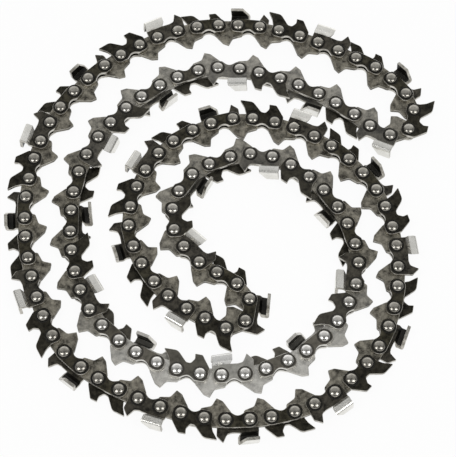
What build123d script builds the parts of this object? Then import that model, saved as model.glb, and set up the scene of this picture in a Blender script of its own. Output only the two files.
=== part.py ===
"""Saw chain of 72 drive links: one closed loop that lies coiled on its side."""
import math
import os
from bisect import bisect_right

from build123d import *

# Chain, in millimetres: pitch is half the length over three rivets
PITCH = 8.255
DRIVE_SPACING = 7.86
PATTERN_REPEATS = 18
GAUGE = 1.5
PLATE = 1.3
RUNNING_GAP = 0.05
HALF_KERF = 3.45

# Side plates: rounded eyes round the rivets, an arch between them on the bar side
EYE_RADIUS = 3.0
EYE_CORNER = 1.2
ARCH_HEIGHT = 1.5

# Rivet heads, low and round
HEAD_RADIUS = 2.2
HEAD_RISE = 0.8
HEAD_SIDES = 6

# Drive link, from its front rivet: back edge, nose, shoulder and hooked tang
DRIVE_BACK = 2.7
DRIVE_EYE = 2.8
SHOULDER_FRONT = -1.6
SHOULDER_DEPTH = 4.0
HOOK_AT = 2.2
HOOK_DEPTH = 5.1
TANG_FRONT = 3.7
TANG_DEPTH = 8.2
HEEL_AT = 6.0
HEEL_DEPTH = 7.3
TANG_REAR = 9.5
TANG_REAR_DEPTH = 3.4

# Guard strap, from its front rivet: two fins that lean to the rear
FIN_HEIGHT = 7.2
FIN_ROOT = 2.6
FRONT_FIN_START = 0.5
FRONT_FIN_END = 3.3
FIN_VALLEY = 3.4
VALLEY_START = 3.8
VALLEY_END = 5.8
REAR_FIN_START = 9.8
REAR_FIN_END = 15.0
FIN_HOLLOW_AT = 12.8
FIN_HOLLOW_HEIGHT = 4.3
REAR_FIN_HEEL = 1.7

# Cutter, from its front rivet: depth gauge, gullet and the bent plate behind them
GAUGE_FRONT = -3.5
GAUGE_SHOULDER = 5.2
GAUGE_TIP_AT = -1.1
GAUGE_HEIGHT = 7.7
GULLET_START = 0.4
GULLET_START_HEIGHT = 4.5
GULLET_END = 2.2
GULLET_HEIGHT = 4.1
TOOTH_FRONT = 4.2
TOOTH_REAR = 11.8
TOOTH_HEIGHT = 8.2
TOOTH_JOIN = 4.2
SET_HEIGHT = 5.2
TOP_PLATE = 1.2
TOP_REACH = 2.0
FILE_ANGLE = 30.0
REAR_ANGLE = 4.0
TOP_SLOPE = 5.0

# Path of the coil, x to the right and y away from the viewer, followed from the outer hairpin bend
LAY_START = 3.5
LAY_POINTS = [
    (71.5, 55.0), (61.0, 68.0), (46.0, 76.5), (15.0, 88.0), (-17.0, 87.5), (-47.0, 72.5),
    (-68.5, 48.0), (-77.5, 16.0), (-74.5, -17.5), (-61.5, -48.5), (-34.0, -67.0), (-2.5, -75.5),
    (30.5, -70.0), (55.0, -48.5), (64.0, -16.5), (57.0, 16.0), (34.0, 39.0), (2.0, 47.0),
    (-27.0, 32.0), (-38.0, 1.5), (-22.5, -27.5), (-8.5, -36.5), (1.0, -40.5), (8.0, -35.0),
    (6.5, -25.5), (-1.5, -19.9), (-13.9, -11.2), (-21.5, 3.0), (-17.3, 18.9), (12.0, 31.5),
    (38.0, 14.5), (49.0, -17.0), (34.5, -44.5), (6.0, -58.0), (-25.5, -54.0), (-51.0, -34.0),
    (-60.0, -2.0), (-56.0, 29.0), (-37.0, 54.5), (-7.0, 69.5), (24.0, 63.5), (52.5, 46.5),
    (59.0, 41.0), (67.5, 40.0), (73.0, 47.0),
]

# Sizes that follow from those above
STRAP_SPACING = 2 * PITCH - DRIVE_SPACING
REPEAT_STATIONS = 4
REPEAT_RIVETS = 2 * REPEAT_STATIONS
STATIONS = REPEAT_STATIONS * PATTERN_REPEATS
INNER_FACE = GAUGE / 2 + RUNNING_GAP
OUTER_FACE = INNER_FACE + PLATE
TOOTH_LENGTH = TOOTH_REAR - TOOTH_FRONT
SLOPE = math.tan(math.radians(TOP_SLOPE))
FRONT_SWEEP = math.tan(math.radians(FILE_ANGLE))
REAR_SWEEP = math.tan(math.radians(REAR_ANGLE))


class Lay:
    """Smooth closed curve through the path's points."""

    def __init__(self, points):
        self.points = points
        self.count = len(points)
        self.knots = [0.0]
        for here, following in zip(points, points[1:] + points[:1]):
            self.knots.append(self.knots[-1] + math.dist(here, following))
        self.length = self.knots[-1]
        self.slopes = [self.slope(i) for i in range(self.count)]

    def slope(self, i):
        """Direction of the curve at point i, weighted by the spans on either side."""
        before, here, after = self.points[i - 1], self.points[i], self.points[(i + 1) % self.count]
        span_in = math.dist(before, here)
        span_out = math.dist(here, after)
        return [
            (span_out * (q - p) / span_in + span_in * (r - q) / span_out) / (span_in + span_out)
            for p, q, r in zip(before, here, after)
        ]

    def at(self, travel):
        """Point at a distance along the curve."""
        travel %= self.length
        i = min(bisect_right(self.knots, travel) - 1, self.count - 1)
        j = (i + 1) % self.count
        span = self.knots[i + 1] - self.knots[i]
        f = (travel - self.knots[i]) / span
        blend = f * f * (3 - 2 * f)
        leave = f * (1 - f) ** 2
        arrive = f * f * (f - 1)
        return [
            p * (1 - blend) + q * blend + span * (m * leave + n * arrive)
            for p, q, m, n in zip(self.points[i], self.points[j], self.slopes[i], self.slopes[j])
        ]

    def step(self, travel, chord):
        """Distance along the curve of the next rivet, a straight chord further on."""
        nearest, furthest, halvings = 0.5, 1.8, 34
        start = self.at(travel)
        low = travel + nearest * chord
        high = travel + furthest * chord
        for _ in range(halvings):
            middle = (low + high) / 2
            if math.dist(self.at(middle), start) < chord:
                low = middle
            else:
                high = middle
        return (low + high) / 2


def lay_rivets(scale):
    """Lays every rivet along the scaled path; returns how far the end overruns, and the rivets."""
    lay = Lay([(x * scale, y * scale) for x, y in LAY_POINTS])
    travel = LAY_START
    rivets = []
    for _ in range(STATIONS):
        rivets.append(lay.at(travel))
        travel = lay.step(travel, STRAP_SPACING)
        rivets.append(lay.at(travel))
        travel = lay.step(travel, DRIVE_SPACING)
    return travel - LAY_START - lay.length, rivets


def close_loop():
    """Scales the path until the last link meets the first."""
    low, high, halvings = 0.4, 2.5, 36
    for _ in range(halvings):
        scale = (low + high) / 2
        if lay_rivets(scale)[0] > 0:
            low = scale
        else:
            high = scale
    return lay_rivets((low + high) / 2)[1]


# Outlines, from the front rivet: x to the rear rivet, y to the cutting side
FRONT_END = [(-EYE_CORNER, -EYE_RADIUS), (-EYE_RADIUS, -EYE_CORNER)]
REAR_END = [
    (STRAP_SPACING + EYE_RADIUS, -EYE_CORNER),
    (STRAP_SPACING + EYE_CORNER, -EYE_RADIUS),
    (STRAP_SPACING / 2, -ARCH_HEIGHT),
]
STRAP_OUTLINE = [
    *FRONT_END,
    (-EYE_RADIUS, EYE_CORNER),
    (-EYE_CORNER, EYE_RADIUS),
    (STRAP_SPACING + EYE_CORNER, EYE_RADIUS),
    (STRAP_SPACING + EYE_RADIUS, EYE_CORNER),
    *REAR_END,
]
GUARD_OUTLINE = [
    *FRONT_END,
    (-EYE_RADIUS, FIN_ROOT),
    (FRONT_FIN_START, FIN_HEIGHT),
    (FRONT_FIN_END, FIN_HEIGHT),
    (VALLEY_START, FIN_VALLEY),
    (VALLEY_END, FIN_VALLEY),
    (REAR_FIN_START, FIN_HEIGHT),
    (REAR_FIN_END, FIN_HEIGHT),
    (FIN_HOLLOW_AT, FIN_HOLLOW_HEIGHT),
    (STRAP_SPACING + EYE_RADIUS, REAR_FIN_HEEL),
    *REAR_END,
]
CUTTER_OUTLINE = [
    *FRONT_END,
    (GAUGE_FRONT, GAUGE_SHOULDER),
    (GAUGE_TIP_AT, GAUGE_HEIGHT),
    (GULLET_START, GULLET_START_HEIGHT),
    (GULLET_END, GULLET_HEIGHT),
    (TOOTH_FRONT, TOOTH_JOIN),
    (TOOTH_REAR, TOOTH_JOIN - SLOPE * TOOTH_LENGTH),
    *REAR_END,
]
DRIVE_OUTLINE = [
    (-EYE_CORNER, DRIVE_BACK),
    (-DRIVE_EYE, 0),
    (SHOULDER_FRONT, -SHOULDER_DEPTH),
    (HOOK_AT, -HOOK_DEPTH),
    (TANG_FRONT, -TANG_DEPTH),
    (HEEL_AT, -HEEL_DEPTH),
    (TANG_REAR, -TANG_REAR_DEPTH),
    (DRIVE_SPACING + DRIVE_EYE, 0),
    (DRIVE_SPACING + EYE_CORNER, DRIVE_BACK),
]
TOOTH_PROFILE = [
    (TOOTH_JOIN, INNER_FACE),
    (SET_HEIGHT, HALF_KERF - PLATE),
    (TOOTH_HEIGHT - TOP_PLATE, HALF_KERF - PLATE),
    (TOOTH_HEIGHT - TOP_PLATE, -TOP_REACH),
    (TOOTH_HEIGHT, -TOP_REACH),
    (TOOTH_HEIGHT, HALF_KERF),
    (SET_HEIGHT, HALF_KERF),
    (TOOTH_JOIN, OUTER_FACE),
]


def placed(outline, front, rear):
    """Corners of an outline where its link lies, the cutting side to the right of travel."""
    run = math.dist(front, rear)
    along = ((rear[0] - front[0]) / run, (rear[1] - front[1]) / run)
    return [
        (front[0] + along[0] * x + along[1] * y, front[1] + along[1] * x - along[0] * y)
        for x, y in outline
    ]


def centred(rivets):
    """Rivets moved so that the middle of the whole chain is over the origin."""
    tooth_reach = [(TOOTH_FRONT, TOOTH_HEIGHT), (TOOTH_REAR, TOOTH_HEIGHT - SLOPE * TOOTH_LENGTH)]
    corners = []
    for station in range(STATIONS):
        front, rear = rivets[2 * station], rivets[2 * station + 1]
        pattern = CUTTER_OUTLINE + tooth_reach if station % 2 == 0 else GUARD_OUTLINE
        corners += placed(pattern, front, rear)
        corners += placed(DRIVE_OUTLINE, rear, rivets[(2 * station + 2) % len(rivets)])
    middle_x = (min(x for x, y in corners) + max(x for x, y in corners)) / 2
    middle_y = (min(y for x, y in corners) + max(y for x, y in corners)) / 2
    return [(x - middle_x, y - middle_y) for x, y in rivets]


RIVETS = centred(close_loop())


def link_plane(first, height):
    """Plane of the link from one rivet to the next: X to the rear, Y to the cutting side, Z down."""
    front = RIVETS[first]
    rear = RIVETS[(first + 1) % len(RIVETS)]
    return Plane((*front, height), x_dir=(rear[0] - front[0], rear[1] - front[1], 0), z_dir=(0, 0, -1))


def strap_planes(height, *places):
    """Planes of the straps at the given places in the four-station pattern."""
    stations = [station for station in range(STATIONS) if station % REPEAT_STATIONS in places]
    return [link_plane(2 * station, height) for station in stations]


UPPER_FACE = HALF_KERF + OUTER_FACE
LOWER_FACE = HALF_KERF - INNER_FACE
os.makedirs("parts", exist_ok=True)

# Drive links, on the middle of the chain
with BuildPart() as drive_links:
    with BuildSketch(*[link_plane(2 * k + 1, HALF_KERF + GAUGE / 2) for k in range(STATIONS)]):
        with BuildLine():
            Polyline(*DRIVE_OUTLINE, close=True)
        make_face()
    extrude(amount=GAUGE)
drive_links.part.label = "drive_links"
export_step(drive_links.part, "parts/drive_links.step")

# Plain tie straps, each across the chain from a cutter or a guard strap
with BuildPart() as tie_straps_upper:
    with BuildSketch(*strap_planes(UPPER_FACE, 0, 1)):
        with BuildLine():
            Polyline(*STRAP_OUTLINE, close=True)
        make_face()
    extrude(amount=PLATE)
tie_straps_upper.part.label = "tie_straps_upper"
export_step(tie_straps_upper.part, "parts/tie_straps_upper.step")

with BuildPart() as tie_straps_lower:
    with BuildSketch(*strap_planes(LOWER_FACE, 2, 3)):
        with BuildLine():
            Polyline(*STRAP_OUTLINE, close=True)
        make_face()
    extrude(amount=PLATE)
tie_straps_lower.part.label = "tie_straps_lower"
export_step(tie_straps_lower.part, "parts/tie_straps_lower.step")

# Guard straps, each behind a cutter on the same side
with BuildPart() as guard_straps_upper:
    with BuildSketch(*strap_planes(UPPER_FACE, 3)):
        with BuildLine():
            Polyline(*GUARD_OUTLINE, close=True)
        make_face()
    extrude(amount=PLATE)
guard_straps_upper.part.label = "guard_straps_upper"
export_step(guard_straps_upper.part, "parts/guard_straps_upper.step")

with BuildPart() as guard_straps_lower:
    with BuildSketch(*strap_planes(LOWER_FACE, 1)):
        with BuildLine():
            Polyline(*GUARD_OUTLINE, close=True)
        make_face()
    extrude(amount=PLATE)
guard_straps_lower.part.label = "guard_straps_lower"
export_step(guard_straps_lower.part, "parts/guard_straps_lower.step")

# One left-hand cutter in its own frame: the tooth is a sloped bent sheet with swept ends
front_lead = Plane((TOOTH_FRONT, 0, HALF_KERF), x_dir=(0, 1, 0), z_dir=(1, 0, FRONT_SWEEP))
rear_lead = Plane((TOOTH_REAR, 0, HALF_KERF), x_dir=(0, 1, 0), z_dir=(1, 0, REAR_SWEEP))
with BuildPart() as tooth:
    with BuildSketch(Plane((TOOTH_FRONT, 0, 0), x_dir=(0, 1, 0), z_dir=(1, 0, 0))):
        with BuildLine():
            Polyline(*TOOTH_PROFILE, close=True)
        make_face()
    extrude(amount=2 * TOOTH_LENGTH, dir=(1, -SLOPE, 0))
    split(bisect_by=front_lead, keep=Keep.TOP)
    split(bisect_by=rear_lead, keep=Keep.BOTTOM)

with BuildPart() as left_cutter:
    with BuildSketch(Plane.XY.offset(INNER_FACE)):
        with BuildLine():
            Polyline(*CUTTER_OUTLINE, close=True)
        make_face()
    extrude(amount=PLATE)
    add(tooth.part)

with BuildPart() as right_cutter:
    mirror(left_cutter.part, about=Plane.XY)

# Cutters take turns, left-hand below and right-hand above
for number in range(1, PATTERN_REPEATS + 1):
    first = REPEAT_RIVETS * (number - 1)
    with BuildPart(link_plane(first, HALF_KERF)) as lower_cutter:
        add(left_cutter.part)
    lower_cutter.part.label = f"left_cutter_{number:02d}"
    export_step(lower_cutter.part, f"parts/left_cutter_{number:02d}.step")

    with BuildPart(link_plane(first + REPEAT_RIVETS // 2, HALF_KERF)) as upper_cutter:
        add(right_cutter.part)
    upper_cutter.part.label = f"right_cutter_{number:02d}"
    export_step(upper_cutter.part, f"parts/right_cutter_{number:02d}.step")

# Rivet heads, seated on the outer faces of the side plates
with BuildPart() as rivet_head:
    with BuildSketch() as rim:
        RegularPolygon(HEAD_RADIUS, HEAD_SIDES)
    loft(sections=[rim.sketch.face(), Vertex(0, 0, HEAD_RISE)], ruled=True)

with BuildPart() as rivet_heads_upper:
    with Locations(*[Plane((x, y, HALF_KERF + OUTER_FACE)) for x, y in RIVETS]):
        add(rivet_head.part)
rivet_heads_upper.part.label = "rivet_heads_upper"
export_step(rivet_heads_upper.part, "parts/rivet_heads_upper.step")

with BuildPart() as rivet_heads_lower:
    with Locations(*[Plane((x, y, HALF_KERF - OUTER_FACE), z_dir=(0, 0, -1)) for x, y in RIVETS]):
        add(rivet_head.part)
rivet_heads_lower.part.label = "rivet_heads_lower"
export_step(rivet_heads_lower.part, "parts/rivet_heads_lower.step")
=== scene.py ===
"""Dresses the coiled saw chain: rounded links, formed rivets, plated cutters and a soft studio."""

import logging
import math
from bisect import bisect_right
from collections.abc import Callable, Iterator, Sequence
from dataclasses import dataclass, field
from enum import Enum

import bmesh
import bpy
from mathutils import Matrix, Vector


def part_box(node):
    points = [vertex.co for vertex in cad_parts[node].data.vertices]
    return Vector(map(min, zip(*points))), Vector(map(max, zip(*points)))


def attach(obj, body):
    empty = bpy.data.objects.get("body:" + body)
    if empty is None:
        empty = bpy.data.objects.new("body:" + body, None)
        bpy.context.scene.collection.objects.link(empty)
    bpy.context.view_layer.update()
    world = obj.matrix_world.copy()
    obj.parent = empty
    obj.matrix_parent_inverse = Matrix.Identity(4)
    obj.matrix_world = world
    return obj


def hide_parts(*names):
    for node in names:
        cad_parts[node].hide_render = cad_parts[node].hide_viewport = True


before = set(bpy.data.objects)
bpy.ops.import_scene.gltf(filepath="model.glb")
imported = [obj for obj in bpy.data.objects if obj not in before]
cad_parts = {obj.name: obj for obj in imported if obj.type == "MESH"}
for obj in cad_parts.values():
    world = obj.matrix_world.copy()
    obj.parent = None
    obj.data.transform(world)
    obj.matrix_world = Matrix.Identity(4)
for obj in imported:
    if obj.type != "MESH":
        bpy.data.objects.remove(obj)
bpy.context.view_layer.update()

LOG = logging.getLogger("saw_chain")
MM = 0.001
Point = tuple[float, float]
Span = tuple[float, float]
Colour = tuple[float, float, float]
Place = Callable[[float, float, float], Vector]

# Edges that turn by more than this stay sharp
CREASE_DEG = 28.0

# Path of the coil in millimetres, x to the right and y away from the viewer
LAY_POINTS: list[Point] = [
    (71.5, 55.0), (61.0, 68.0), (46.0, 76.5), (15.0, 88.0), (-17.0, 87.5), (-47.0, 72.5),
    (-68.5, 48.0), (-77.5, 16.0), (-74.5, -17.5), (-61.5, -48.5), (-34.0, -67.0), (-2.5, -75.5),
    (30.5, -70.0), (55.0, -48.5), (64.0, -16.5), (57.0, 16.0), (34.0, 39.0), (2.0, 47.0),
    (-27.0, 32.0), (-38.0, 1.5), (-22.5, -27.5), (-8.5, -36.5), (1.0, -40.5), (8.0, -35.0),
    (6.5, -25.5), (-1.5, -19.9), (-13.9, -11.2), (-21.5, 3.0), (-17.3, 18.9), (12.0, 31.5),
    (38.0, 14.5), (49.0, -17.0), (34.5, -44.5), (6.0, -58.0), (-25.5, -54.0), (-51.0, -34.0),
    (-60.0, -2.0), (-56.0, 29.0), (-37.0, 54.5), (-7.0, 69.5), (24.0, 63.5), (52.5, 46.5),
    (59.0, 41.0), (67.5, 40.0), (73.0, 47.0),
]
# Distance of the first rivet along the path
LAY_START = 3.5


@dataclass(frozen=True)
class Stretch:
    """A stretch of the chain painted lighter than the rest, in rivets, for rubbed steel and painted
    highlight.
    """

    middle: float
    reach: float
    level: float
    fading_share: float = 0.5

    def at(self, rivet: float, count: int) -> float:
        """Gives how much lighter the chain is painted at a rivet, for rubbing and painted highlight.

        Args:
            rivet: the rivet's number.
            count: rivets in the loop.

        Returns:
            The level, which fades to nothing at the stretch's ends.
        """
        away = abs((rivet - self.middle + count / 2) % count - count / 2) / self.reach
        return self.level * min(1.0, max(0.0, (1.0 - away) / self.fading_share))


# The first stretch is a painted highlight: a bright reflection along the chain, painted into the steel's
# colour; the other two are only painted lighter.
RUBBED_AND_HIGHLIT: tuple[Stretch, ...] = (
    Stretch(middle=108.5, reach=8.0, level=1.35),
    Stretch(middle=133.0, reach=10.0, level=0.45),
    Stretch(middle=91.0, reach=7.0, level=0.25),
)


class Side(Enum):
    """Which side of the coiled chain a piece is on."""

    UPPER = 1
    LOWER = -1


class Station(Enum):
    """Places in the pattern of straps that repeats along the chain."""

    LEFT_CUTTER = 0
    LOWER_GUARD = 1
    RIGHT_CUTTER = 2
    UPPER_GUARD = 3


class Surface(Enum):
    """Material slots that a link's faces use."""

    FACE = 0
    EDGE = 1
    PLATED = 2
    INSIDE = 3


@dataclass(frozen=True)
class ChainSizes:
    """Sizes of the chain, in millimetres."""

    pitch: float = 8.255
    drive_spacing: float = 7.86
    repeats: int = 18
    gauge: float = 1.5
    plate: float = 1.3
    running_gap: float = 0.05
    half_kerf: float = 3.45
    eye_radius: float = 3.0

    @property
    def strap_spacing(self) -> float:
        """Rivet centres within a strap."""
        return 2 * self.pitch - self.drive_spacing

    @property
    def stations(self) -> int:
        """Straps on each side of the loop."""
        return len(Station) * self.repeats

    @property
    def inner_face(self) -> float:
        """Side plate's inner face, from the middle of the chain."""
        return self.gauge / 2 + self.running_gap

    @property
    def outer_face(self) -> float:
        """Side plate's outer face, from the middle of the chain."""
        return self.inner_face + self.plate


class Lay:
    """Smooth closed curve through the path's points."""

    def __init__(self, points: list[Point]) -> None:
        """Keeps the points with their distances along the curve.

        Args:
            points: the path, in order, without repeating its first point.
        """
        self.points = points
        self.count = len(points)
        self.knots = [0.0]
        for here, following in zip(points, points[1:] + points[:1]):
            self.knots.append(self.knots[-1] + math.dist(here, following))
        self.length = self.knots[-1]
        self.slopes = [self.slope(i) for i in range(self.count)]

    def slope(self, i: int) -> Point:
        """Works out the curve's direction at a point.

        Args:
            i: the point's place in the path.

        Returns:
            The direction, weighted by the spans on either side.
        """
        before, here, after = self.points[i - 1], self.points[i], self.points[(i + 1) % self.count]
        span_in, span_out = math.dist(before, here), math.dist(here, after)
        x, y = (
            (span_out * (q - p) / span_in + span_in * (r - q) / span_out) / (span_in + span_out)
            for p, q, r in zip(before, here, after)
        )
        return x, y

    def at(self, travel: float) -> Point:
        """Finds a point on the curve.

        Args:
            travel: distance along the curve.

        Returns:
            The point there.
        """
        travel %= self.length
        i = min(bisect_right(self.knots, travel) - 1, self.count - 1)
        j = (i + 1) % self.count
        span = self.knots[i + 1] - self.knots[i]
        f = (travel - self.knots[i]) / span
        blend, leave, arrive = f * f * (3 - 2 * f), f * (1 - f) ** 2, f * f * (f - 1)
        x, y = (
            p * (1 - blend) + q * blend + span * (m * leave + n * arrive)
            for p, q, m, n in zip(self.points[i], self.points[j], self.slopes[i], self.slopes[j])
        )
        return x, y

    def step(self, travel: float, chord: float) -> float:
        """Finds the next rivet along the curve.

        Args:
            travel: distance along the curve of this rivet.
            chord: straight distance to the next one.

        Returns:
            Distance along the curve of the next rivet.
        """
        nearest, furthest, halvings = 0.5, 1.8, 34
        start = self.at(travel)
        low, high = travel + nearest * chord, travel + furthest * chord
        for _ in range(halvings):
            middle = (low + high) / 2
            if math.dist(self.at(middle), start) < chord:
                low = middle
            else:
                high = middle
        return (low + high) / 2


@dataclass
class Coil:
    """The loop as it lies: every rivet's place, and frames for the links between them."""

    sizes: ChainSizes
    rivets: list[Point] = field(default_factory=list)
    shift: Point = (0.0, 0.0)

    def lay_rivets(self, scale: float) -> tuple[float, list[Point]]:
        """Lays the rivets along the scaled path.

        Args:
            scale: factor on the path's points.

        Returns:
            How far the end overruns the start, and the rivets.
        """
        lay = Lay([(x * scale, y * scale) for x, y in LAY_POINTS])
        travel, rivets = LAY_START, []
        for _ in range(self.sizes.stations):
            rivets.append(lay.at(travel))
            travel = lay.step(travel, self.sizes.strap_spacing)
            rivets.append(lay.at(travel))
            travel = lay.step(travel, self.sizes.drive_spacing)
        return travel - LAY_START - lay.length, rivets

    def close(self) -> None:
        """Scales the path until the loop closes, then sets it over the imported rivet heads."""
        low, high, halvings = 0.4, 2.5, 36
        for _ in range(halvings):
            scale = (low + high) / 2
            if self.lay_rivets(scale)[0] > 0:
                low = scale
            else:
                high = scale
        rivets = self.lay_rivets((low + high) / 2)[1]
        lowest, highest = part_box("rivet_heads_upper")
        packed = [(a + b) / 2 / MM for a, b in zip(lowest, highest)]
        middle = [(min(r[i] for r in rivets) + max(r[i] for r in rivets)) / 2 for i in (0, 1)]
        self.shift = (packed[0] - middle[0], packed[1] - middle[1])
        self.rivets = [(x + self.shift[0], y + self.shift[1]) for x, y in rivets]

    def placer(self, first: int, side: Side = Side.UPPER) -> Place:
        """Makes the frame of the link that starts at a rivet.

        Args:
            first: number of the link's front rivet.
            side: the side that the link's third coordinate points to.

        Returns:
            A function from link coordinates, in millimetres, to the row frame in metres: to the rear rivet,
            to the cutting side, and outwards from the middle of the chain.
        """
        front, rear = self.rivets[first], self.rivets[(first + 1) % len(self.rivets)]
        run = math.dist(front, rear)
        ux, uy = (rear[0] - front[0]) / run, (rear[1] - front[1]) / run

        def place(u: float, n: float, w: float) -> Vector:
            """Moves one link point into the row frame."""
            z = self.sizes.half_kerf + side.value * w
            return Vector((front[0] + ux * u + uy * n, front[1] + uy * u - ux * n, z)) * MM

        return place

    def wear_and_highlight(self, rivet: float) -> float:
        """Gives how much lighter the chain is painted at a rivet, or between two, for rubbing and painted
        highlight; 0 is not at all.
        """
        return max(stretch.at(rivet, len(self.rivets)) for stretch in RUBBED_AND_HIGHLIT)

    def link_wear_and_highlight(self, first: int) -> float:
        """Gives how much lighter a link is painted, for rubbing and painted highlight, halfway between its
        rivets.
        """
        return self.wear_and_highlight(first + 0.5)

    def drives(self) -> Iterator[int]:
        """Gives the front rivets of the drive links."""
        return (2 * k + 1 for k in range(self.sizes.stations))

    def straps(self, *wanted: Station) -> Iterator[int]:
        """Gives the front rivets of the straps at the wanted places in the pattern."""
        return (2 * k for k in range(self.sizes.stations) if Station(k % len(Station)) in wanted)


@dataclass(frozen=True)
class Corner:
    """A corner of an outline, with the radius it is rounded to."""

    x: float
    y: float
    radius: float = 0.0


def rounded(corners: Sequence[Corner], step_deg: float = 15.0) -> list[Point]:
    """Rounds an outline's corners.

    Args:
        corners: the outline, anticlockwise.
        step_deg: largest turn between neighbouring points of an arc.

    Returns:
        The outline's points.
    """
    least_sweep, edge_share, least_steps = math.radians(1), 0.498, 2
    out: list[Point] = []
    for i, here in enumerate(corners):
        before, after = corners[i - 1], corners[(i + 1) % len(corners)]
        to_before = Vector((before.x - here.x, before.y - here.y))
        to_after = Vector((after.x - here.x, after.y - here.y))
        opening = to_before.angle(to_after)
        sweep = math.pi - opening
        if here.radius <= 0 or sweep < least_sweep:
            out.append((here.x, here.y))
            continue
        room = edge_share * min(to_before.length, to_after.length)
        reach = min(here.radius / math.tan(opening / 2), room)
        radius = reach * math.tan(opening / 2)
        bisector = (to_before.normalized() + to_after.normalized()).normalized()
        centre = Vector((here.x, here.y)) + bisector * (radius / math.sin(opening / 2))
        start = Vector((here.x, here.y)) + to_before.normalized() * reach - centre
        turn = 1.0 if to_before.cross(to_after) < 0 else -1.0
        steps = max(least_steps, math.ceil(math.degrees(sweep) / step_deg))
        for k in range(steps + 1):
            a = turn * sweep * k / steps
            out.append((
                centre.x + start.x * math.cos(a) - start.y * math.sin(a),
                centre.y + start.x * math.sin(a) + start.y * math.cos(a),
            ))
    return out


def inset(points: Sequence[Point], depth: float) -> list[Point]:
    """Moves an anticlockwise outline inwards.

    Args:
        points: the outline.
        depth: how far its edges move.

    Returns:
        The inner outline, point for point.
    """
    # Keeps the point of a sharp corner from moving too far
    least_spread = 0.35
    out = []
    for i, here in enumerate(points):
        before, after = points[i - 1], points[(i + 1) % len(points)]
        edge_in = Vector((here[0] - before[0], here[1] - before[1])).normalized()
        edge_out = Vector((after[0] - here[0], after[1] - here[1])).normalized()
        left_in, left_out = Vector((-edge_in.y, edge_in.x)), Vector((-edge_out.y, edge_out.x))
        move = (left_in + left_out) * (depth / max(least_spread, 1 + left_in.dot(left_out)))
        out.append((here[0] + move.x, here[1] + move.y))
    return out


class MeshDraft:
    """Collects the faces of one piece before its mesh is made."""

    def __init__(self) -> None:
        """Starts with nothing."""
        self.points: list[Vector] = []
        self.wear_and_highlight: list[float] = []
        self.faces: list[list[int]] = []
        self.surfaces: list[int] = []

    def add_points(self, points: Sequence[Vector], wear_and_highlight: float = 0.0) -> list[int]:
        """Adds points.

        Args:
            points: their places, in metres.
            wear_and_highlight: how much lighter the piece is painted there, for rubbing and painted
                highlight.

        Returns:
            The points' numbers.
        """
        first = len(self.points)
        self.points.extend(points)
        self.wear_and_highlight.extend([wear_and_highlight] * len(points))
        return list(range(first, len(self.points)))

    def add_face(self, corners: Sequence[int], surface: Surface) -> None:
        """Adds one face by its points' numbers."""
        self.faces.append(list(corners))
        self.surfaces.append(surface.value)

    def add_strip(
        self, lower: Sequence[int], upper: Sequence[int], surface: Surface, skip: int | None = None
    ) -> None:
        """Joins two rings of points with four-sided faces.

        Args:
            lower: numbers of the first ring's points.
            upper: numbers of the second ring's points.
            surface: material slot of the faces.
            skip: edge of the ring that stays open, if any.
        """
        count = len(lower)
        for i in range(count):
            if i != skip:
                j = (i + 1) % count
                self.add_face((lower[i], lower[j], upper[j], upper[i]), surface)

    def make(self, name: str, materials: Sequence[bpy.types.Material]) -> bpy.types.Object:
        """Makes the piece.

        Args:
            name: the object's name.
            materials: one for each of its slots.

        Returns:
            The object, linked to the scene.
        """
        mesh = bpy.data.meshes.new(name)
        mesh.from_pydata(self.points, [], self.faces)
        for material in materials:
            mesh.materials.append(material)
        mesh.polygons.foreach_set("material_index", self.surfaces)
        mesh.polygons.foreach_set("use_smooth", [True] * len(self.faces))
        bm = bmesh.new()
        bm.from_mesh(mesh)
        bmesh.ops.recalc_face_normals(bm, faces=bm.faces)
        bm.to_mesh(mesh)
        bm.free()
        # Keeps each point's level of lightening: rubbed steel, and painted highlight.
        mesh.attributes.new("wear_and_highlight", "FLOAT", "POINT").data.foreach_set("value", self.wear_and_highlight)
        mesh.set_sharp_from_angle(angle=math.radians(CREASE_DEG))
        mesh.update()
        piece = bpy.data.objects.new(name, mesh)
        bpy.context.scene.collection.objects.link(piece)
        return piece


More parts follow.
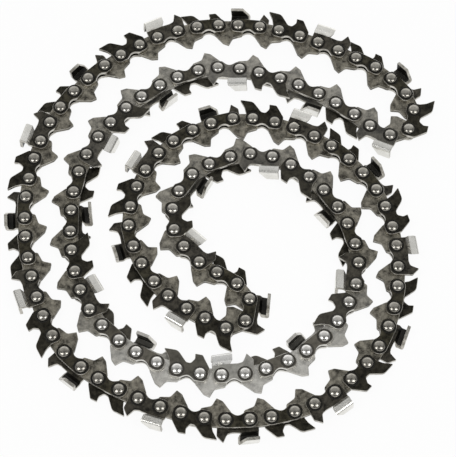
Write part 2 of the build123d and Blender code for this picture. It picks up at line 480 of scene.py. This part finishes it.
@dataclass(frozen=True)
class NodeBench:
    """Adds nodes to the tree of one material or world."""

    tree: bpy.types.NodeTree

    def add(self, kind: str, **feeds: bpy.types.NodeSocket) -> bpy.types.Node:
        """Adds a node.

        Args:
            kind: the node's type.
            feeds: what its inputs are joined to, by their names.

        Returns:
            The node.
        """
        node = self.tree.nodes.new(kind)
        for name, source in feeds.items():
            self.tree.links.new(source, node.inputs[name])
        return node

    def noise(
        self, place: bpy.types.NodeSocket, size: float, detail: float, roughness: float
    ) -> bpy.types.NodeSocket:
        """Adds a cloudy pattern.

        Args:
            place: coordinates that it follows.
            size: length of one patch, in metres.
            detail: how many finer layers it has.
            roughness: how strong the finer layers are.

        Returns:
            The pattern's level.
        """
        node = self.add("ShaderNodeTexNoise", Vector=place)
        node.inputs["Scale"].default_value = 1 / size
        node.inputs["Detail"].default_value = detail
        node.inputs["Roughness"].default_value = roughness
        return node.outputs["Fac"]

    def ramp(
        self, level: bpy.types.NodeSocket, band: Span, low: Colour, high: Colour
    ) -> bpy.types.NodeSocket:
        """Adds a blend of two colours.

        Args:
            level: what the blend follows.
            band: levels between which it blends.
            low: colour under the band.
            high: colour over the band.

        Returns:
            The colour.
        """
        node = self.add("ShaderNodeValToRGB", Fac=level)
        for stop, position, colour in zip(node.color_ramp.elements, band, (low, high)):
            stop.position = position
            stop.color = (*colour, 1)
        return node.outputs["Color"]

    def work_out(self, operation: str, *terms: bpy.types.NodeSocket | float) -> bpy.types.NodeSocket:
        """Adds a sum of one operation.

        Args:
            operation: the operation's name.
            terms: what it works on, each a socket or a number.

        Returns:
            The result.
        """
        node = self.add("ShaderNodeMath")
        node.operation = operation
        for slot, term in zip(node.inputs, terms):
            if isinstance(term, float):
                slot.default_value = term
            else:
                self.tree.links.new(term, slot)
        return node.outputs[0]

    def rescale(
        self, level: bpy.types.NodeSocket, band: Span = (0.0, 1.0), onto: Span = (0.0, 1.0)
    ) -> bpy.types.NodeSocket:
        """Adds a change of range, level beyond its ends.

        Args:
            level: what is changed.
            band: the levels it is taken between.
            onto: the levels that these become.

        Returns:
            The new level.
        """
        node = self.add("ShaderNodeMapRange", Value=level)
        for name, value in zip(("From Min", "From Max", "To Min", "To Max"), (*band, *onto)):
            node.inputs[name].default_value = value
        return node.outputs["Result"]


@dataclass(frozen=True)
class Finish:
    """A metal finish: uneven colour, uneven gloss and fine grain."""

    name: str
    dark: Colour
    light: Colour
    worn_and_highlit: Colour
    metallic: float
    smooth: float
    rough: float
    sheen_level: float = 0.5
    patch_mm: float = 5.0
    patch_detail: float = 6.0
    patch_roughness: float = 0.74
    patch_band: Span = (0.37, 0.63)
    grain_mm: float = 0.25
    grain_depth_mm: float = 0.02
    grain_detail: float = 3.0
    grain_roughness: float = 0.5
    grain_band: Span = (0.3, 0.7)
    grain_strength: float = 0.35

    def material(self) -> bpy.types.Material:
        """Builds the finish as nodes.

        Returns:
            The material.
        """
        material = bpy.data.materials.new(self.name)
        material.use_nodes = True
        bench, links = NodeBench(material.node_tree), material.node_tree.links
        shader = material.node_tree.nodes["Principled BSDF"]
        shader.inputs["Metallic"].default_value = self.metallic
        shader.inputs["Specular IOR Level"].default_value = self.sheen_level
        place = bench.add("ShaderNodeTexCoord").outputs["Object"]

        patches = bench.noise(place, self.patch_mm * MM, self.patch_detail, self.patch_roughness)
        # Mixes in the lighter third colour by the mesh's per-point level: rubbed steel, and painted
        # highlight on the bright stretch.
        wear_and_highlight = bench.add("ShaderNodeAttribute")
        wear_and_highlight.attribute_name = "wear_and_highlight"
        tint = bench.add("ShaderNodeMix")
        tint.data_type = "RGBA"
        tint.inputs["B"].default_value = (*self.worn_and_highlit, 1)
        links.new(bench.work_out("MULTIPLY", wear_and_highlight.outputs["Fac"], patches), tint.inputs["Factor"])
        links.new(bench.ramp(patches, self.patch_band, self.dark, self.light), tint.inputs["A"])
        links.new(tint.outputs["Result"], shader.inputs["Base Color"])

        grain = bench.noise(place, self.grain_mm * MM, self.grain_detail, self.grain_roughness)
        gloss = bench.rescale(grain, self.grain_band, (self.smooth, self.rough))
        links.new(gloss, shader.inputs["Roughness"])
        bump = bench.add("ShaderNodeBump", Height=grain)
        bump.inputs["Strength"].default_value = self.grain_strength
        bump.inputs["Distance"].default_value = self.grain_depth_mm * MM
        links.new(bump.outputs["Normal"], shader.inputs["Normal"])
        return material


@dataclass(frozen=True)
class Finishes:
    """Every finish on the chain."""

    # The third colour of each finish is the lighter one painted on the light stretches: rubbed steel, and
    # painted highlight.
    oxide: Finish = Finish(
        "black_oxide", dark=(0.0060, 0.0054, 0.0035), light=(0.045, 0.041, 0.0295),
        worn_and_highlit=(0.14, 0.132, 0.11), metallic=0.70, smooth=0.36, rough=0.52, sheen_level=0.25, patch_mm=2.6)
    strap: Finish = Finish(
        "worn_black_oxide", dark=(0.0093, 0.0084, 0.0052), light=(0.070, 0.0635, 0.0435),
        worn_and_highlit=(0.175, 0.163, 0.137), metallic=0.70, smooth=0.36, rough=0.52, sheen_level=0.25, patch_mm=2.6)
    drive: Finish = Finish(
        "drive_link_steel", dark=(0.032, 0.0295, 0.0225), light=(0.310, 0.289, 0.236),
        worn_and_highlit=(0.70, 0.69, 0.65), metallic=0.75, smooth=0.34, rough=0.50, patch_mm=2.4)
    body: Finish = Finish(
        "cutter_body_steel", dark=(0.0090, 0.0080, 0.0056), light=(0.089, 0.081, 0.063),
        worn_and_highlit=(0.50, 0.49, 0.45), metallic=0.70, smooth=0.30, rough=0.45, patch_mm=2.4)
    plated: Finish = Finish(
        "chrome_plate", dark=(0.73, 0.72, 0.675), light=(0.865, 0.855, 0.81), worn_and_highlit=(0.755, 0.755, 0.745),
        metallic=1.0, smooth=0.26, rough=0.33, patch_mm=6.0, grain_mm=0.5, grain_depth_mm=0.0002)
    # The tooth's inside is painted near black: painted shade under the bent tooth.
    inside: Finish = Finish(
        "painted_shade_cutter_inside", dark=(0.0070, 0.0066, 0.0053), light=(0.0305, 0.0285, 0.0235),
        worn_and_highlit=(0.082, 0.080, 0.068), metallic=0.6, smooth=0.36, rough=0.52)
    edge: Finish = Finish(
        "rubbed_edge", dark=(0.23, 0.216, 0.186), light=(0.67, 0.65, 0.59), worn_and_highlit=(0.76, 0.745, 0.70),
        metallic=1.0, smooth=0.24, rough=0.36, patch_mm=3.0)
    rivet: Finish = Finish(
        "rivet_steel", dark=(0.235, 0.224, 0.197), light=(0.39, 0.374, 0.334), worn_and_highlit=(0.825, 0.815, 0.79),
        metallic=1.0, smooth=0.21, rough=0.28, patch_mm=2.5, grain_mm=0.3, grain_depth_mm=0.004)
    # Dark ring round each rivet head: painted shade of the gap round it, and an oily film.
    shade_and_oil: Finish = Finish(
        "painted_shade_and_oil_film", dark=(0.0044, 0.0040, 0.0029), light=(0.0133, 0.0121, 0.0088),
        worn_and_highlit=(0.066, 0.062, 0.052), metallic=0.2, smooth=0.40, rough=0.55, sheen_level=0.2, patch_mm=2.0)


def adopt(piece: bpy.types.Object, node: str, slot: str) -> bpy.types.Object:
    """Sets a piece in place of its node.

    Args:
        piece: the new piece.
        node: the node it stands for.
        slot: not used.

    Returns:
        The piece.
    """
    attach(piece, "root")
    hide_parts(node)
    return piece


@dataclass
class FlatLinks:
    """A set of equal flat links: one rounded outline, repeated round the coil."""

    node: str
    slot: str
    coil: Coil
    corners: list[Corner]
    firsts: list[int]
    low: float
    high: float
    side: Side = Side.UPPER
    wall: Surface = Surface.EDGE
    chamfer: float = 0.14

    def build(self, face: bpy.types.Material, edge: bpy.types.Material) -> bpy.types.Object:
        """Builds the set as one piece.

        Args:
            face: finish of the flat faces.
            edge: finish of the rubbed edges.

        Returns:
            The piece, riding on the root in place of its node.
        """
        draft = MeshDraft()
        ring = rounded(self.corners)
        cap = inset(ring, self.chamfer)
        levels = [
            (cap, self.low), (ring, self.low + self.chamfer),
            (ring, self.high - self.chamfer), (cap, self.high),
        ]
        for first in self.firsts:
            place, wear_and_highlight = self.coil.placer(first, self.side), self.coil.link_wear_and_highlight(first)
            rows = [draft.add_points([place(u, n, w) for u, n in outline], wear_and_highlight) for outline, w in levels]
            draft.add_face(rows[0][::-1], Surface.FACE)
            draft.add_strip(rows[0], rows[1], Surface.EDGE)
            draft.add_strip(rows[1], rows[2], self.wall)
            draft.add_strip(rows[2], rows[3], Surface.EDGE)
            draft.add_face(rows[3], Surface.FACE)
        return adopt(draft.make(f"dressed_{self.node}", [face, edge]), self.node, self.slot)


@dataclass(frozen=True)
class LinkOutlines:
    """Outlines of the flat links, from the front rivet, in millimetres."""

    sizes: ChainSizes
    waist: float = 1.05
    waist_start: float = 1.5
    waist_radius: float = 3.0
    eye_end_radius: float = 0.8
    drive_eye: float = 2.8
    drive_shoulder: Point = (1.2, 2.7)

    def belly(self) -> list[Corner]:
        """Draws the bar side of every side plate.

        Returns:
            Two eyes and the arch between them, from the front eye to the rear one.
        """
        eye, spacing = self.sizes.eye_radius, self.sizes.strap_spacing
        return [
            Corner(-eye, -eye, eye),
            Corner(self.waist_start, -eye, self.eye_end_radius),
            Corner(spacing / 2, -self.waist, self.waist_radius),
            Corner(spacing - self.waist_start, -eye, self.eye_end_radius),
            Corner(spacing + eye, -eye, eye),
        ]

    def tie_strap(self) -> list[Corner]:
        """Draws the plain strap, with a straight back."""
        eye, spacing = self.sizes.eye_radius, self.sizes.strap_spacing
        return [*self.belly(), Corner(spacing + eye, eye, eye), Corner(-eye, eye, eye)]

    def guard_strap(self) -> list[Corner]:
        """Draws the guard strap.

        Returns:
            The outline, with two leaning fins on the cutting side.
        """
        eye, spacing = self.sizes.eye_radius, self.sizes.strap_spacing
        return [
            *self.belly(),
            Corner(spacing + eye, 1.7, 0.8),
            Corner(12.7, 4.2, 4.0),
            Corner(15.0, 7.1, 0.25),
            Corner(9.8, 7.25, 2.6),
            Corner(5.9, 3.35, 1.5),
            Corner(4.2, 3.3, 1.0),
            Corner(3.0, 5.2, 1.2),
            Corner(3.3, 7.15, 0.25),
            Corner(0.5, 7.2, 0.9),
            Corner(-eye, 2.6, 1.5),
        ]

    def drive_link(self) -> list[Corner]:
        """Draws the drive link.

        Returns:
            The outline, with a hooked tang on the bar side.
        """
        spacing = self.sizes.drive_spacing
        beyond, height = self.drive_shoulder
        return [
            Corner(-beyond, height, 1.4),
            Corner(-self.drive_eye, 0.0, 2.4),
            Corner(-1.6, -4.0, 0.9),
            Corner(2.2, -5.1, 1.5),
            Corner(3.7, -8.2, 0.3),
            Corner(6.0, -7.3, 1.0),
            Corner(9.5, -3.4, 1.8),
            Corner(spacing + self.drive_eye, 0.0, 2.4),
            Corner(spacing + beyond, height, 1.4),
        ]


@dataclass
class Cutter:
    """One cutter: a flat body with depth gauge and gullet, and a tooth bent out and over."""

    coil: Coil
    outlines: LinkOutlines
    tooth_front: float = 4.2
    tooth_rear: float = 11.8
    tooth_height: float = 8.2
    tooth_join: float = 4.2
    set_height: float = 5.2
    top_plate: float = 1.2
    top_reach: float = 2.0
    file_deg: float = 30.0
    rear_deg: float = 4.0
    slope_deg: float = 5.0
    bend_radius: float = 1.0
    least_inner_bend: float = 0.2
    bend_steps: int = 5
    chamfer: float = 0.12

    def lean(self, u: float) -> float:
        """Gives how far the sloped tooth has dropped at a distance along the link."""
        return math.tan(math.radians(self.slope_deg)) * (u - self.tooth_front)

    def front_at(self, w: float) -> float:
        """Gives where the filed front is, at a distance out from the middle of the chain."""
        inwards = self.coil.sizes.half_kerf - w
        return self.tooth_front + math.tan(math.radians(self.file_deg)) * inwards

    def rear_at(self, w: float) -> float:
        """Gives where the rear edge is, at a distance out from the middle of the chain."""
        inwards = self.coil.sizes.half_kerf - w
        return self.tooth_rear + math.tan(math.radians(self.rear_deg)) * inwards

    def body_outline(self) -> tuple[list[Point], int]:
        """Rounds the body's outline.

        Returns:
            The outline, and the number of the edge that the tooth grows from.
        """
        middle = (self.coil.sizes.inner_face + self.coil.sizes.outer_face) / 2
        front, rear = self.front_at(middle), self.rear_at(middle)
        tooth_end = Corner(rear, self.tooth_join - self.lean(rear))
        tooth_start = Corner(front, self.tooth_join - self.lean(front))
        ring = rounded([
            *self.outlines.belly(),
            tooth_end,
            tooth_start,
            Corner(2.2, 4.1, 1.6),
            Corner(0.4, 4.5, 1.4),
            Corner(-1.1, 7.7, 0.25),
            Corner(-3.5, 5.2, 1.0),
        ])
        return ring, ring.index((tooth_end.x, tooth_end.y))

    def profile(self) -> list[tuple[Point, Point]]:
        """Works out the tooth's bent section.

        Returns:
            Pairs of points on the outer and inner faces, as height and distance out, from the body to the
            free edge.
        """
        sizes = self.coil.sizes
        outer_w, inner_w = sizes.half_kerf, sizes.half_kerf - sizes.plate
        inner_top = self.tooth_height - self.top_plate
        inner_radius = max(self.least_inner_bend, self.bend_radius - self.top_plate)
        rows = [((self.set_height, outer_w), (self.set_height, inner_w))]
        for k in range(self.bend_steps + 1):
            a = math.pi / 2 * k / self.bend_steps
            drop, inwards = 1 - math.sin(a), 1 - math.cos(a)
            rows.append((
                (self.tooth_height - self.bend_radius * drop, outer_w - self.bend_radius * inwards),
                (inner_top - inner_radius * drop, inner_w - inner_radius * inwards),
            ))
        rows.append(((self.tooth_height, -self.top_reach), (inner_top, -self.top_reach)))
        return rows

    def tooth_row(self, outer: Point, inner: Point, place: Place) -> tuple[list[Vector], list[Vector]]:
        """Places one row across the tooth, with its chamfered ends.

        Args:
            outer: height and distance out on the outer face.
            inner: the same on the inner face.
            place: the cutter's frame.

        Returns:
            The row's points at the filed front and at the rear, each from the outer to the inner face.
        """
        across = Vector(inner) - Vector(outer)
        inward = across.normalized() * self.chamfer
        stops = [
            (Vector(outer), self.chamfer), (Vector(outer) + inward, 0.0),
            (Vector(inner) - inward, 0.0), (Vector(inner), self.chamfer),
        ]
        front, rear = [], []
        for (n, w), back in stops:
            u = self.front_at(w) + back
            front.append(place(u, n - self.lean(u), w))
            u = self.rear_at(w) - back
            rear.append(place(u, n - self.lean(u), w))
        return front, rear

    def add_body(self, draft: MeshDraft, place: Place, wear_and_highlight: float) -> tuple[list[int], list[int]]:
        """Adds the flat body, open where the tooth grows from it.

        Args:
            draft: collects the faces.
            place: the cutter's frame.
            wear_and_highlight: how much lighter the cutter is painted, for rubbing and painted highlight.

        Returns:
            The opening's points at the tooth's front and rear, each from the outer to the inner face.
        """
        ring, open_edge = self.body_outline()
        cap = inset(ring, self.chamfer)
        for k, slide in ((open_edge, -self.chamfer), (open_edge + 1, self.chamfer)):
            u = ring[k][0] + slide
            cap[k] = (u, self.tooth_join - self.lean(u))
        low, high = self.coil.sizes.inner_face, self.coil.sizes.outer_face
        levels = [(cap, low), (ring, low + self.chamfer), (ring, high - self.chamfer), (cap, high)]
        rows = [draft.add_points([place(u, n, w) for u, n in outline], wear_and_highlight) for outline, w in levels]
        draft.add_face(rows[0][::-1], Surface.FACE)
        for lower, upper in zip(rows, rows[1:]):
            draft.add_strip(lower, upper, Surface.EDGE, open_edge)
        draft.add_face(rows[-1], Surface.FACE)
        return [row[open_edge + 1] for row in rows[::-1]], [row[open_edge] for row in rows[::-1]]

    def add_tooth(
        self, draft: MeshDraft, place: Place, wear_and_highlight: float, front: list[int], rear: list[int]
    ) -> None:
        """Adds the tooth, row by row from the body to the free edge.

        Args:
            draft: collects the faces.
            place: the cutter's frame.
            wear_and_highlight: how much lighter the cutter is painted, for rubbing and painted highlight.
            front: the body's points at the tooth's front.
            rear: the body's points at the tooth's rear.
        """
        for outer, inner in self.profile():
            front_points, rear_points = self.tooth_row(outer, inner, place)
            next_front = draft.add_points(front_points, wear_and_highlight)
            next_rear = draft.add_points(rear_points, wear_and_highlight)
            draft.add_face((front[0], rear[0], next_rear[0], next_front[0]), Surface.PLATED)
            draft.add_face((rear[-1], front[-1], next_front[-1], next_rear[-1]), Surface.INSIDE)
            for a in range(len(front) - 1):
                draft.add_face((front[a + 1], front[a], next_front[a], next_front[a + 1]), Surface.EDGE)
                draft.add_face((rear[a], rear[a + 1], next_rear[a + 1], next_rear[a]), Surface.EDGE)
            front, rear = next_front, next_rear
        draft.add_face((*front, *reversed(rear)), Surface.EDGE)

    def build(
        self, name: str, first: int, side: Side, materials: Sequence[bpy.types.Material]
    ) -> bpy.types.Object:
        """Builds one cutter.

        Args:
            name: the node's name.
            first: number of its front rivet.
            side: the side it is on.
            materials: finishes of its body, edges, plated outside, and inside painted dark as shade.

        Returns:
            The piece, riding on the root in place of its node.
        """
        draft = MeshDraft()
        place, wear_and_highlight = self.coil.placer(first, side), self.coil.link_wear_and_highlight(first)
        front, rear = self.add_body(draft, place, wear_and_highlight)
        self.add_tooth(draft, place, wear_and_highlight, front, rear)
        return adopt(draft.make(f"dressed_{name}", materials), name, "cutter_chrome")


@dataclass
class RivetHeads:
    """Formed rivet heads on one side of the chain, each in a thin dark ring: painted shade of the gap round
    the head, and an oily film.
    """

    node: str
    coil: Coil
    side: Side
    radius: float = 2.15
    rise: float = 1.1
    drum: float = 0.3
    film_radius: float = 2.85
    film_rise: float = 0.04
    film_slope: float = 0.08
    segments: int = 28
    rings: int = 7

    def ring(self, place: Place, reach: float, height: float) -> list[Vector]:
        """Draws a circle round the rivet.

        Args:
            place: frame of the link that starts at the rivet.
            reach: the circle's radius.
            height: its height over the plate.

        Returns:
            The circle's points.
        """
        turns = [math.tau * k / self.segments for k in range(self.segments)]
        seat = self.coil.sizes.outer_face
        return [place(reach * math.cos(t), reach * math.sin(t), seat + height) for t in turns]

    def build(self, steel: bpy.types.Material, shade_and_oil: bpy.types.Material) -> bpy.types.Object:
        """Builds every head on this side as one piece.

        Args:
            steel: the heads' finish, in the slot for faces.
            shade_and_oil: finish of the dark ring round each head, painted shade and an oily film, in the
                slot for edges.

        Returns:
            The piece, riding on the root in place of its node.
        """
        draft = MeshDraft()
        # The dark ring round each head: painted shade of the gap round it, and an oily film.
        film = [(self.film_radius, 0.0), (self.film_radius - self.film_slope, self.film_rise)]
        head = [(self.radius, self.film_rise)]
        for k in range(self.rings):
            a = math.pi / 2 * k / self.rings
            head.append((self.radius * math.cos(a), self.drum + (self.rise - self.drum) * math.sin(a)))
        for first in range(len(self.coil.rivets)):
            place, wear_and_highlight = self.coil.placer(first, self.side), self.coil.wear_and_highlight(first)
            rows = [draft.add_points(self.ring(place, *row), wear_and_highlight) for row in film + head]
            crown = draft.add_points([place(0.0, 0.0, self.coil.sizes.outer_face + self.rise)], wear_and_highlight)[0]
            draft.add_face(rows[0][::-1], Surface.EDGE)
            for number, (lower, upper) in enumerate(zip(rows, rows[1:])):
                draft.add_strip(lower, upper, Surface.EDGE if number < len(film) else Surface.FACE)
            for k in range(self.segments):
                draft.add_face((rows[-1][k], rows[-1][(k + 1) % self.segments], crown), Surface.FACE)
        return adopt(draft.make(f"dressed_{self.node}", [steel, shade_and_oil]), self.node, "rivet_steel")


@dataclass
class Chain:
    """The whole chain: every set of pieces, dressed."""

    coil: Coil
    finishes: Finishes = Finishes()

    def flat_sets(self) -> list[tuple[FlatLinks, Finish]]:
        """Lists the sets of flat links.

        Returns:
            Each set, with the finish of its faces.
        """
        coil, sizes, outlines = self.coil, self.coil.sizes, LinkOutlines(self.coil.sizes)
        half_gauge = sizes.gauge / 2
        drives = FlatLinks(
            "drive_links", "drive_steel", coil, outlines.drive_link(), list(coil.drives()),
            -half_gauge, half_gauge, wall=Surface.FACE)
        sets = [(drives, self.finishes.drive)]
        for side, plain, guarded in (
            (Side.UPPER, (Station.LEFT_CUTTER, Station.LOWER_GUARD), Station.UPPER_GUARD),
            (Side.LOWER, (Station.RIGHT_CUTTER, Station.UPPER_GUARD), Station.LOWER_GUARD),
        ):
            word = side.name.lower()
            ties = FlatLinks(
                f"tie_straps_{word}", "strap_steel", coil, outlines.tie_strap(),
                list(coil.straps(*plain)), sizes.inner_face, sizes.outer_face, side)
            guards = FlatLinks(
                f"guard_straps_{word}", "strap_steel", coil, outlines.guard_strap(),
                list(coil.straps(guarded)), sizes.inner_face, sizes.outer_face, side)
            sets += [(ties, self.finishes.strap), (guards, self.finishes.oxide)]
        return sets

    def build(self) -> list[bpy.types.Object]:
        """Builds and dresses every piece.

        Returns:
            The pieces in the order they are made: flat links, cutters, then rivet heads.
        """
        made = {finish.name: finish.material() for finish in vars(self.finishes).values()}
        steel, shade_and_oil, edge, body, plated, inside = (made[finish.name] for finish in (
            self.finishes.rivet, self.finishes.shade_and_oil, self.finishes.edge,
            self.finishes.body, self.finishes.plated, self.finishes.inside))
        pieces = [links.build(made[finish.name], edge) for links, finish in self.flat_sets()]
        cutter, dress = Cutter(self.coil, LinkOutlines(self.coil.sizes)), [body, edge, plated, inside]
        pairs = zip(self.coil.straps(Station.LEFT_CUTTER), self.coil.straps(Station.RIGHT_CUTTER))
        for number, (left, right) in enumerate(pairs, start=1):
            pieces.append(cutter.build(f"left_cutter_{number:02d}", left, Side.LOWER, dress))
            pieces.append(cutter.build(f"right_cutter_{number:02d}", right, Side.UPPER, dress))
        for side in Side:
            heads = RivetHeads(f"rivet_heads_{side.name.lower()}", self.coil, side)
            pieces.append(heads.build(steel, shade_and_oil))
        return pieces


@dataclass(frozen=True)
class Paper:
    """The floor's finish: white, a little uneven, and bright where it is seen or mirrored."""

    dark: Colour = (0.86, 0.86, 0.86)
    light: Colour = (0.90, 0.90, 0.90)
    rough: float = 0.9
    sheen_level: float = 0.1
    fibre_mm: float = 2.5
    fibre_detail: float = 2.0
    fibre_roughness: float = 0.5
    white_share: float = 0.94

    def material(self) -> bpy.types.Material:
        """Builds the paper as nodes.

        Returns:
            The material.
        """
        material = bpy.data.materials.new("white_paper")
        material.use_nodes = True
        bench, links = NodeBench(material.node_tree), material.node_tree.links
        shader = material.node_tree.nodes["Principled BSDF"]
        shader.inputs["Roughness"].default_value = self.rough
        shader.inputs["Specular IOR Level"].default_value = self.sheen_level
        place = bench.add("ShaderNodeTexCoord").outputs["Object"]
        fibre = bench.noise(place, self.fibre_mm * MM, self.fibre_detail, self.fibre_roughness)
        links.new(bench.ramp(fibre, (0.0, 1.0), self.dark, self.light), shader.inputs["Base Color"])
        rays = bench.add("ShaderNodeLightPath").outputs
        mirrored = bench.work_out("MAXIMUM", rays["Is Glossy Ray"], rays["Is Transmission Ray"])
        seen = bench.work_out("MAXIMUM", rays["Is Camera Ray"], mirrored)
        white = bench.add("ShaderNodeEmission")
        mix = bench.add("ShaderNodeMixShader", Fac=bench.work_out("MULTIPLY", seen, self.white_share))
        links.new(shader.outputs["BSDF"], mix.inputs[1])
        links.new(white.outputs["Emission"], mix.inputs[2])
        links.new(mix.outputs["Shader"], material.node_tree.nodes["Material Output"].inputs["Surface"])
        return material


@dataclass(frozen=True)
class Room:
    """Light from all round: white walls, dimmer to the left and right, under a dim ceiling."""

    walls: float = 0.95
    ceiling: float = 0.14
    side_share: float = 0.3
    ceiling_band: Span = (0.45, 0.75)
    side_band: Span = (0.45, 0.85)
    side_rise_band: Span = (-0.02, 0.14)

    def build(self) -> bpy.types.World:
        """Builds the room as nodes of the world.

        Returns:
            The world, set in the scene.
        """
        world = bpy.data.worlds.new("studio_world")
        world.use_nodes = True
        bench, links = NodeBench(world.node_tree), world.node_tree.links
        background = world.node_tree.nodes["Background"]
        place = bench.add("ShaderNodeTexCoord").outputs["Generated"]
        direction = bench.add("ShaderNodeSeparateXYZ", Vector=place).outputs
        walls, ceiling = (self.walls,) * 3, (self.ceiling,) * 3
        links.new(bench.ramp(direction["Z"], self.ceiling_band, walls, ceiling), background.inputs["Color"])
        sideways = bench.rescale(bench.work_out("ABSOLUTE", direction["X"]), self.side_band)
        raised = bench.rescale(direction["Z"], self.side_rise_band)
        dimmed = bench.work_out("MULTIPLY", sideways, raised)
        links.new(bench.rescale(dimmed, onto=(1.0, self.side_share)), background.inputs["Strength"])
        bpy.context.scene.world = world
        return world


@dataclass(frozen=True)
class Lamp:
    """A rectangular studio lamp that faces the middle of the chain, with lengths in metres."""

    name: str
    azimuth_deg: float
    elevation_deg: float
    distance: float
    width: float
    depth: float
    watts: float

    def build(self, target: Vector) -> bpy.types.Object:
        """Builds the lamp.

        Args:
            target: the point it faces.

        Returns:
            The lamp.
        """
        light = bpy.data.lights.new(self.name, "AREA")
        light.shape = "RECTANGLE"
        light.size, light.size_y, light.energy = self.width, self.depth, self.watts
        lamp = bpy.data.objects.new(self.name, light)
        a, e = math.radians(self.azimuth_deg), math.radians(self.elevation_deg)
        away = Vector((math.sin(a) * math.cos(e), -math.cos(a) * math.cos(e), math.sin(e)))
        lamp.location = target + away * self.distance
        lamp.rotation_mode = "QUATERNION"
        lamp.rotation_quaternion = away.to_track_quat("Z", "Y")
        bpy.context.scene.collection.objects.link(lamp)
        return lamp


@dataclass
class Studio:
    """Floor, room, lamps and camera, with lengths in metres unless a name says otherwise."""

    coil: Coil
    paper: Paper = Paper()
    room: Room = Room()
    floor_radius: float = 4.0
    floor_sides: int = 64
    floor_drop_mm: float = 0.05
    camera_elevation_deg: float = 66.4
    camera_distance: float = 0.615
    camera_near: float = 0.01
    lens_mm: float = 128.05
    sensor_mm: float = 36.0
    aim_mm: Point = (-0.15, -0.4)
    rivet_level_mm: float = 6.2
    lamps: tuple[Lamp, ...] = (
        Lamp("left_lamp", -64.0, 62.0, distance=1.1, width=0.29, depth=0.48, watts=2.9),
        Lamp("right_lamp", 64.0, 62.0, distance=1.1, width=0.29, depth=0.48, watts=2.9),
        Lamp("far_panel", 180.0, 42.0, distance=1.3, width=2.2, depth=1.6, watts=6.0),
    )

    def target(self) -> Vector:
        """Gives the point that the camera looks at: the middle of the picture on the rivets' level."""
        x, y = self.coil.shift[0] + self.aim_mm[0], self.coil.shift[1] + self.aim_mm[1]
        return Vector((x, y, self.rivet_level_mm)) * MM

    def floor(self) -> bpy.types.Object:
        """Builds the round floor that the chain lies on.

        Returns:
            The floor.
        """
        draft = MeshDraft()
        turns = [math.tau * k / self.floor_sides for k in range(self.floor_sides)]
        rim = [Vector((math.cos(t), math.sin(t), 0)) * self.floor_radius for t in turns]
        draft.add_face(draft.add_points(rim), Surface.FACE)
        floor = draft.make("studio_floor", [self.paper.material()])
        floor.location.z = -self.floor_drop_mm * MM
        return floor

    def camera(self) -> bpy.types.Object:
        """Sets the camera at the photograph's angle.

        Returns:
            The camera.
        """
        data = bpy.data.cameras.new("camera")
        data.lens, data.sensor_width, data.clip_start = self.lens_mm, self.sensor_mm, self.camera_near
        camera = bpy.data.objects.new("camera", data)
        e = math.radians(self.camera_elevation_deg)
        back = Vector((0, -math.cos(e), math.sin(e)))
        camera.location = self.target() + back * self.camera_distance
        camera.rotation_mode = "QUATERNION"
        camera.rotation_quaternion = back.to_track_quat("Z", "Y")
        bpy.context.scene.collection.objects.link(camera)
        bpy.context.scene.camera = camera
        return camera

    def build(self) -> None:
        """Builds the whole studio."""
        self.floor()
        self.room.build()
        for lamp in self.lamps:
            lamp.build(self.target())
        self.camera()
        bpy.context.scene.view_settings.view_transform = "Standard"


def main() -> None:
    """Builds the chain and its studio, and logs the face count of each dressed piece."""
    logging.basicConfig(level=logging.INFO)
    coil = Coil(ChainSizes())
    coil.close()
    for piece in Chain(coil).build():
        LOG.info("built %s with %d faces", piece.name, len(piece.data.polygons))
    Studio(coil).build()


if __name__ == "__main__":
    main()
